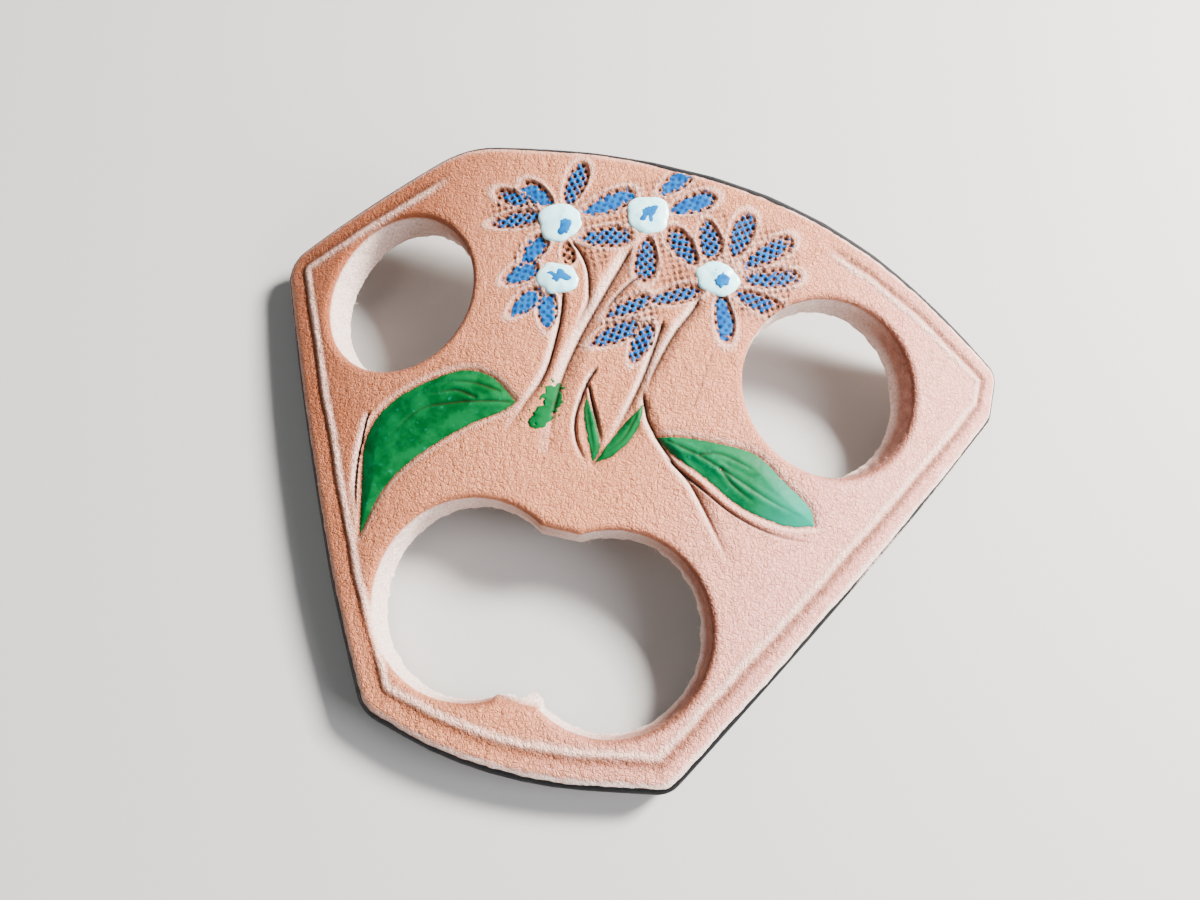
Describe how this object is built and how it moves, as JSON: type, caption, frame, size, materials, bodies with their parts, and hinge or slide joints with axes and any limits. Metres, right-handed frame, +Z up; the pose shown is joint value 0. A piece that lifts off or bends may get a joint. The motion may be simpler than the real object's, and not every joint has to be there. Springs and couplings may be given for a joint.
{
  "type": "pick holder",
  "caption": "Arched fan-shaped tooled leather plate with two round holes, a double hole, a dyed edge and painted flowers.",
  "frame": {"origin": "centre of the plate's footprint, on the surface that it stands on", "axes": "+Z up from that surface, +Y towards the wide end with the flowers, +X to the right seen from the painted side"},
  "size_m": [0.083, 0.066, 0.0149],
  "materials": {
    "leather": "natural vegetable-tanned leather, smooth tooled grain side, fibrous cut walls and suede back",
    "edge_dye": "black edge dye, burnished semi-gloss, slightly uneven",
    "petal_blue": "brushed acrylic paint, bright blue, semi-gloss",
    "dab_white": "thick acrylic paint, white with a cyan tint",
    "eye_blue": "acrylic paint, cyan blue, wet into the white dab",
    "leaf_green": "brushed acrylic paint, deep to bright green, semi-gloss"
  },
  "bodies": {
    "root": {"bud_petal_1": "petal_blue", "bud_petal_2": "petal_blue", "bud_petal_3": "petal_blue", "edge_coat": "edge_dye", "flower_1_dab": "dab_white", "flower_1_eye": "eye_blue", "flower_1_petal_1": "petal_blue", "flower_1_petal_2": "petal_blue", "flower_1_petal_3": "petal_blue", "flower_1_petal_4": "petal_blue", "flower_1_petal_5": "petal_blue", "flower_1_petal_6": "petal_blue", "flower_1_petal_7": "petal_blue", "flower_2_dab": "dab_white", "flower_2_eye": "eye_blue", "flower_2_petal_1": "petal_blue", "flower_2_petal_2": "petal_blue", "flower_2_petal_3": "petal_blue", "flower_3_dab": "dab_white", "flower_3_eye": "eye_blue", "flower_3_petal_1": "petal_blue", "flower_3_petal_2": "petal_blue", "flower_3_petal_3": "petal_blue", "flower_4_dab": "dab_white", "flower_4_eye": "eye_blue", "flower_4_petal_1": "petal_blue", "flower_4_petal_2": "petal_blue", "flower_4_petal_3": "petal_blue", "flower_4_petal_4": "petal_blue", "flower_4_petal_5": "petal_blue", "flower_4_petal_6": "petal_blue", "flower_4_petal_7": "petal_blue", "flower_4_petal_8": "petal_blue", "leather_body": "leather", "left_leaf": "leaf_green", "right_leaf": "leaf_green", "sprout_left_blade": "leaf_green", "sprout_right_blade": "leaf_green", "stem_foot": "leaf_green"}
  },
  "joints": []
}
